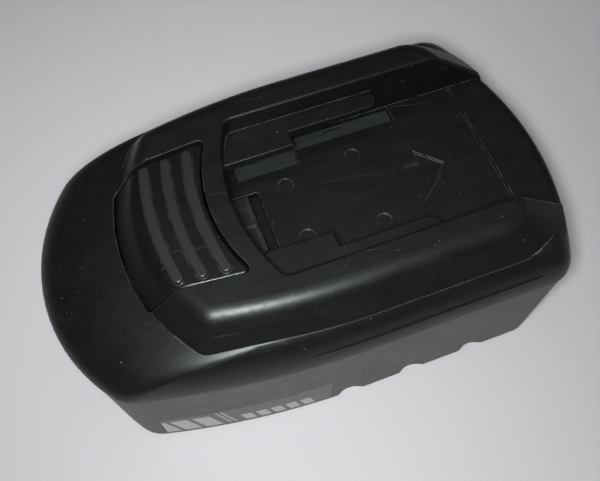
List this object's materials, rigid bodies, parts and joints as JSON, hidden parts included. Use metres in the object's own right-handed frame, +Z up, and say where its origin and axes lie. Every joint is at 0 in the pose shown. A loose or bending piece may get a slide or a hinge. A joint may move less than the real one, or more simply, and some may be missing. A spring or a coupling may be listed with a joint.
{
  "type": "power tool battery pack",
  "caption": "Slide-on rechargeable battery pack for a cordless tool, with a rail bay, a sprung release button and latch, and cells in a two-part housing.",
  "frame": {"origin": "centre of the bounding box in plan, on the plane of the flat bottom", "axes": "+X towards the open tail of the slide bay, +Z up, Y across, symmetric about Y = 0 outside"},
  "size_m": [0.1584, 0.0924, 0.0689],
  "materials": {
    "black_plastic": "satin, near-black moulded plastic",
    "grey_plastic": "matte dark grey moulded plastic",
    "button_plastic": "smooth black moulded plastic",
    "latch_plastic": "plain dark moulded plastic",
    "carrier_plastic": "smooth grey-green moulded plastic",
    "zinc_steel": "zinc plated",
    "spring_steel": "drawn wire",
    "nickel": "nickel plated strip",
    "cell_sleeve": null,
    "fibre_card": "pressed insulating card",
    "foam": "closed-cell foam",
    "cutout_case": "small metal case",
    "red_wire": "insulated lead",
    "black_wire": "insulated lead",
    "white_wire": "insulated lead",
    "label_film": "thin printed film, dark with pale stripes"
  },
  "bodies": {
    "pack": {"upper_housing": "black_plastic", "lower_housing": "grey_plastic", "button_spring_near": "spring_steel", "button_spring_far": "spring_steel", "latch_frame": "latch_plastic", "frame_screws": "zinc_steel", "housing_screws": "zinc_steel", "top_straps": "nickel", "bottom_straps": "nickel", "bottom_card": "fibre_card", "top_card": "fibre_card", "foam_pad": "foam", "thermal_cutout": "cutout_case", "contact_carrier_near": "carrier_plastic", "contact_carrier_far": "carrier_plastic", "positive_terminal": "nickel", "negative_terminal": "nickel", "sense_terminal": "nickel", "lead_positive": "red_wire", "lead_negative": "black_wire", "lead_sense": "white_wire", "side_labels": "label_film", "cell_01": "cell_sleeve", "cell_02": "cell_sleeve", "cell_03": "cell_sleeve", "cell_04": "cell_sleeve", "cell_05": "cell_sleeve", "cell_06": "cell_sleeve", "cell_07": "cell_sleeve", "cell_08": "cell_sleeve", "cell_09": "cell_sleeve", "cell_10": "cell_sleeve", "cell_11": "cell_sleeve", "cell_12": "cell_sleeve", "cell_13": "cell_sleeve", "cell_14": "cell_sleeve", "cell_15": "cell_sleeve"},
    "button": {"release_button": "button_plastic", "latch_plate": "latch_plastic", "latch_screws": "zinc_steel"}
  },
  "joints": [
    {"name": "button_press", "type": "slide", "parent": "pack", "child": "button", "axis": [0, 0, -1], "range_m": [0, 0.003], "stiffness_N_per_m": 1500, "springref_m": -0.002, "deforming": ["button_spring_near", "button_spring_far"]}
  ]
}
